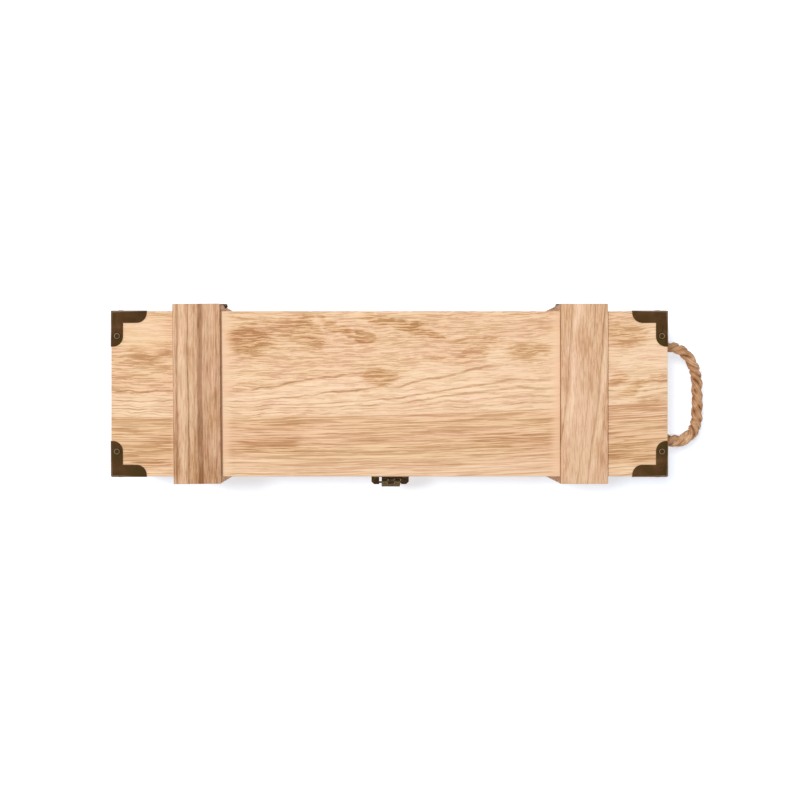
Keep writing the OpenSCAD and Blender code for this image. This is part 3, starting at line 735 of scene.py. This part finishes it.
def knot_path(y, turn_way):
    """From the hole along -X: out to the coil, round, back to the middle, and the tail."""
    def at(depth, off_y=0.0, off_z=0.0):
        """A point so far behind the wall's inner face, in mm, and so far off the hole's middle line."""
        return Vector((0, y, ROPE_Z)) + Vector((WALL_LOW.x - depth * MM, off_y, off_z))

    points, steps = [at(-2.0), at(0.5)], 17
    for i in range(steps):
        t = i / (steps - 1)
        angle = turn_way * 2 * math.pi * KNOT_TURNS * t
        # it opens quickly from the middle and closes as quickly
        r = KNOT_TURN_R * min(1.0, 0.35 + 6 * t, 0.35 + 6 * (1 - t))
        points.append(at(3.2 + 3.8 * t, r * math.cos(angle), r * math.sin(angle)))
    return points + [at(depth) for depth in (10.5, 14.0, 17.6)]


def make_rope():
    """The two knots, which stay in the case, and the handle between the holes."""
    for node, y, way in (("rope_knot_rear", ROUTE[0][1], 1), ("rope_knot_front", ROUTE[-1][1], -1)):
        knot, _ = lay_rope(node + "_tied", knot_path(y * MM, way), KNOT_ROPE_D, KNOT_PITCH, KNOT_SWELL,
                           KNOT_HAIRS)
        settle(knot, "case", JUTE, [node])
    piece, line = lay_rope("rope_handle", rope_path(), ROPE_D, ROPE_PITCH, SWELL, LOOP_HAIRS)
    settle(piece, None, JUTE, ["rope_loop"])
    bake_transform(piece)


make_rope()

# ---------------------------------------------------------------- boards and battens

BOARD_EDGE = 0.5 * MM
BOARDS = {
    LID_WOOD: ["lid_panel"],
    CASE_WOOD: ["lid_front_rail", "lid_rear_rail", "front_wall", "rear_wall", "floor_panel"],
    END_WOOD: ["lid_left_rail", "lid_right_rail", "left_end_wall", "right_end_wall"],
}
BATTENS = {
    LEFT_BATTEN_WOOD: ["lid_left_batten", "left_skid"],
    RIGHT_BATTEN_WOOD: ["lid_right_batten", "right_skid"],
    UPRIGHT_WOOD: [f"{part}_{face}_{side}_batten" for part in ("lid", "case") for face in ("front", "rear")
                   for side in ("left", "right")],
}
for slot_name, group in (("board_wood", BOARDS), ("batten_wood", BATTENS)):
    for material, nodes in group.items():
        for node in nodes:
            board = copy_of(node, node + "_board")
            soften(board, BOARD_EDGE)
            settle(board, BODY_OF[node], material, [node])

# ---------------------------------------------------------------- metal pieces

# A nail's profile from its tip to the middle of its head, as (radius, height over its seat) in mm. Its crest,
# between the marked radii, is a ring round a dished middle. A head of another size is stretched to it
NAIL_SHANK = [(0.0, -7.0), (0.25, -6.7), (0.7, -6.0), (0.7, 0.0)]
NAIL_HEAD = [(2.2, 0.0), (2.2, 0.16), (2.1, 0.36), (1.95, 0.62), (1.8, 0.84), (1.62, 0.97), (1.42, 0.98),
             (1.26, 0.86), (1.1, 0.62), (0.86, 0.46), (0.6, 0.42), (0.4, 0.5), (0.2, 0.56), (0.0, 0.58)]
NAIL_HEAD_R, NAIL_HEAD_TALL = 2.2, 0.98
# The crest gets the lighter plating, partly as rubbed wear and partly as painted highlight
CREST = (1.3, 1.9)
NAIL_SIDES = 28
NAIL_SMOOTH = math.radians(40)
# Points are taken to lie on a rim or a face when they are as near to it as this
ON_RIM = 0.02 * MM
ON_FACE = 0.01 * MM


def nail_places(node):
    """Where a node's nails are: for each one the middle of its head's seat, the axis and the way that it
    points out, and its head's radius and height."""
    copy_of(node, "nails_of_" + node)
    bpy.ops.object.mode_set(mode="EDIT")
    bpy.ops.mesh.select_all(action="SELECT")
    bpy.ops.mesh.separate(type="LOOSE")
    bpy.ops.object.mode_set(mode="OBJECT")
    places = []
    for nail in list(bpy.context.selected_objects):
        points = np.array([tuple(nail.matrix_world @ v.co) for v in nail.data.vertices])
        low, high = points.min(axis=0), points.max(axis=0)
        axis = int(np.argmax(high - low))
        middle = (low + high) / 2
        off = points - middle
        off[:, axis] = 0
        reach = np.linalg.norm(off, axis=1)
        radius = reach.max()
        seat = points[reach > radius - ON_RIM][:, axis].mean()
        way = 1.0 if seat > middle[axis] else -1.0
        top = high[axis] if way > 0 else low[axis]
        foot = middle.copy()
        foot[axis] = seat
        places.append((foot, axis, way, radius, abs(top - seat)))
        bpy.data.objects.remove(nail)
    return places


def make_nails(node):
    """All the nails of a CAD node, turned from one profile, with dished heads."""
    points, faces, rubbed_or_highlit = [], [], []
    for foot, axis, way, radius, height in nail_places(node):
        wide, tall = radius / NAIL_HEAD_R, height / NAIL_HEAD_TALL
        profile = [(r * MM, z * MM) for r, z in NAIL_SHANK] + [(r * wide, z * tall) for r, z in NAIL_HEAD]
        first = len(points)
        for r, z in profile:
            for k in range(NAIL_SIDES):
                angle = 2 * math.pi * k / NAIL_SIDES
                p = np.array(foot)
                p[axis] += way * z
                p[(axis + 1) % 3] += r * math.cos(angle)
                p[(axis + 2) % 3] += way * r * math.sin(angle)
                points.append(p)
        for i in range(len(profile) - 1):
            for k in range(NAIL_SIDES):
                next_k = (k + 1) % NAIL_SIDES
                a, b = first + i * NAIL_SIDES, first + (i + 1) * NAIL_SIDES
                faces.append((a + k, a + next_k, b + next_k, b + k))
                # faces on the crest get the lighter plating: rubbed wear and painted highlight
                on_crest = CREST[0] * wide < (profile[i][0] + profile[i + 1][0]) / 2 < CREST[1] * wide
                rubbed_or_highlit.append(on_crest and profile[i][1] > 0)
    nails = mesh_piece(node + "_turned", points, faces)
    settle(nails, BODY_OF[node], BRONZE, [node])
    rub_and_highlight(nails, rubbed_or_highlit)
    only(nails)
    bpy.ops.object.mode_set(mode="EDIT")
    bpy.ops.mesh.select_all(action="SELECT")
    bpy.ops.mesh.remove_doubles(threshold=MERGE_WITHIN)
    bpy.ops.mesh.normals_make_consistent(inside=False)
    bpy.ops.object.mode_set(mode="OBJECT")
    bpy.ops.object.shade_smooth_by_angle(angle=NAIL_SMOOTH)


# The hasp plate's lip lies behind the arm's rolls and comes this much nearer to them. Its tongues cover the
# pin, one between the rolls and one beside them: each one's low and high x and y. All in mm
LIP_Y, LIP_REACH = -54.6, 0.24
LIP_DEPTH = 0.05
TONGUES = [((-0.6, -56.3), (3.1, -54.2)), ((7.33, -56.3), (7.9, -54.2))]


def close_lip(plate):
    """Brings the hasp plate's lip up to the arm, so that no floor shows between them."""
    bpy.ops.object.mode_set(mode="EDIT")
    bpy.ops.mesh.select_all(action="DESELECT")
    bpy.ops.object.mode_set(mode="OBJECT")
    edge = [v for v in plate.data.vertices
            if abs((plate.matrix_world @ v.co).y - LIP_Y * MM) < LIP_DEPTH * MM]
    for v in edge:
        v.select = True
    low = min((plate.matrix_world @ v.co).z for v in edge)
    high = max((plate.matrix_world @ v.co).z for v in edge)
    bpy.ops.object.mode_set(mode="EDIT")
    bpy.ops.transform.translate(value=(0, -LIP_REACH * MM, 0))
    bpy.ops.object.mode_set(mode="OBJECT")
    for (x0, y0), (x1, y1) in TONGUES:
        middle = ((x0 + x1) / 2 * MM, (y0 + y1) / 2 * MM, (low + high) / 2)
        size = ((x1 - x0) * MM, (y1 - y0) * MM, high - low)
        bpy.ops.mesh.primitive_cube_add(size=1, location=middle, scale=size)
        plate.select_set(True)
        bpy.context.view_layer.objects.active = plate
        bpy.ops.object.join()


# Outside radius of the bends where a corner protector's sheet is folded, and the steps that round one
BEND_R = 1.1 * MM
BEND_STEPS = 4


def round_bends(corner):
    """Rounds the three bends of a corner protector, which meet in the point farthest from the box's
    middle."""
    bpy.ops.object.mode_set(mode="EDIT")
    bpy.ops.mesh.select_all(action="DESELECT")
    bpy.ops.mesh.select_mode(type="EDGE")
    bpy.ops.object.mode_set(mode="OBJECT")
    places = np.array([tuple(corner.matrix_world @ v.co) for v in corner.data.vertices])
    away = np.abs(places - (0, 0, LID_TOP / 2))
    outside = away > away.max(axis=0) - ON_FACE
    for edge in corner.data.edges:
        a, b = edge.vertices
        edge.select = (outside[a] & outside[b]).sum() >= 2
    bpy.ops.object.mode_set(mode="EDIT")
    bpy.ops.mesh.bevel(offset=BEND_R, offset_type="OFFSET", segments=BEND_STEPS, affect="EDGES")
    bpy.ops.mesh.select_mode(type="VERT")
    bpy.ops.object.mode_set(mode="OBJECT")


# How far a sheet metal piece's edges are rounded off, and the least part of a normal that lies on one axis
# where a face counts as flat and not as part of a bend
ROUND_OFF = 0.16 * MM
CORNER_ROUND_OFF = 0.1 * MM
HINGE_ROUND_OFF = 0.07 * MM
SQUARE_ON = 0.99


def make_fitting(node, material, round_off=ROUND_OFF, shape=None):
    """A sheet metal piece with its edges rounded and painted lighter, as rubbed wear and painted highlight,
    after a change to its shape if one is given; when round_bends is that change, its bends are painted so
    too.
    """
    piece = copy_of(node, node + "_stamped")
    if shape:
        shape(piece)
    soften(piece, round_off, rubbed_or_highlit=True)
    # the bevels, and a corner protector's bends, get the lighter plating: rubbed wear and painted highlight
    bent = shape == round_bends
    marks = [face.material_index == 1 or bent and max(map(abs, face.normal)) < SQUARE_ON
             for face in piece.data.polygons]
    settle(piece, BODY_OF[node], material, [node])
    rub_and_highlight(piece, marks)


# How far the panel pins' heads stand proud of the wood
PIN_PROUD = 0.06 * MM


def make_pins(node):
    """Panel pins, with the faces of their heads a hair proud of the wood."""
    piece = copy_of(node, node + "_driven")
    piece.data.transform(piece.matrix_world)
    piece.matrix_world = Matrix.Identity(4)
    low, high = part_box(node)
    for v in piece.data.vertices:
        if node == "floor_pins":
            if v.co.z < low.z + ON_FACE:
                v.co.z -= PIN_PROUD
        elif min(v.co.y - low.y, high.y - v.co.y) < ON_FACE:
            v.co.y += math.copysign(PIN_PROUD, v.co.y)
    settle(piece, BODY_OF[node], STEEL, [node])


for node in BODY_OF:
    if node.endswith(("nails", "tacks")):
        make_nails(node)
    elif node.endswith("_pins"):
        make_pins(node)
    elif "corner" in node:
        make_fitting(node, BRONZE, CORNER_ROUND_OFF, round_bends)
    elif "hinge" in node:
        make_fitting(node, HINGE_BRONZE, HINGE_ROUND_OFF)
    elif node == "hasp_arm":
        make_fitting(node, ARM_BRONZE)
    elif node == "hasp_plate":
        make_fitting(node, HASP_BRONZE, shape=close_lip)
    elif any(word in node for word in ("hasp", "catch", "staple")):
        make_fitting(node, HASP_BRONZE)

# ---------------------------------------------------------------- stage

# The floor and the sky are white to the eye and in reflections, and the lamp and the sky together light a
# level face so that its colour renders as it is written
SKY_LIGHT = 0.45
KEY_LIGHT = 0.55
KEY_LEAN_X, KEY_LEAN_Y = math.radians(12), math.radians(5.5)
KEY_SIZE = math.radians(8)
FLOOR_GLOW = 0.45
FLOOR_COLOUR, FLOOR_SHADE_COLOUR, WHITE = linear("e4eefe"), linear("e6e6e6"), linear("ffffff")
FLOOR_SIZE = 12


def seen_directly(m):
    """1 for rays from the camera, from glossy faces and through glass, and 0 for those that only light."""
    path = add(m, "LightPath")
    seen = add(m, "Math", {0: path.outputs["Is Camera Ray"], 1: path.outputs["Is Glossy Ray"]},
               operation="MAXIMUM")
    return add(m, "Math", {0: seen, 1: path.outputs["Is Transmission Ray"]}, operation="MAXIMUM")


def make_stage():
    """The white floor and sky, and the lamp."""
    bpy.ops.object.select_all(action="DESELECT")
    bpy.ops.mesh.primitive_plane_add(size=FLOOR_SIZE, location=(0, 0, 0))
    floor = bpy.context.object
    floor.name = "floor"
    m = new_material("white_paper_floor")
    paper = add(m, "BsdfDiffuse", {"Color": FLOOR_COLOUR})
    glow = add(m, "Emission", {"Color": WHITE, "Strength": FLOOR_GLOW})
    bright = add(m, "AddShader", {0: paper, 1: glow})
    dull = add(m, "BsdfDiffuse", {"Color": FLOOR_SHADE_COLOUR})
    add(m, "OutputMaterial", {0: add(m, "MixShader", {0: seen_directly(m), 1: dull, 2: bright})})
    floor.data.materials.append(m)

    world = bpy.data.worlds.new("white_sky")
    world.use_nodes = True
    world.node_tree.nodes.clear()
    light = add(world, "Background", {"Color": WHITE, "Strength": SKY_LIGHT})
    white = add(world, "Background", {"Color": WHITE, "Strength": 1.0})
    add(world, "OutputWorld", {0: add(world, "MixShader", {0: seen_directly(world), 1: light, 2: white})})
    bpy.context.scene.world = world

    key = bpy.data.objects.new("key_light", bpy.data.lights.new("key_light", "SUN"))
    key.data.energy = KEY_LIGHT * math.pi
    key.data.angle = KEY_SIZE
    key.rotation_euler = (-KEY_LEAN_Y, -KEY_LEAN_X, 0)
    bpy.context.scene.collection.objects.link(key)


make_stage()
bpy.context.scene.view_settings.view_transform = "Standard"
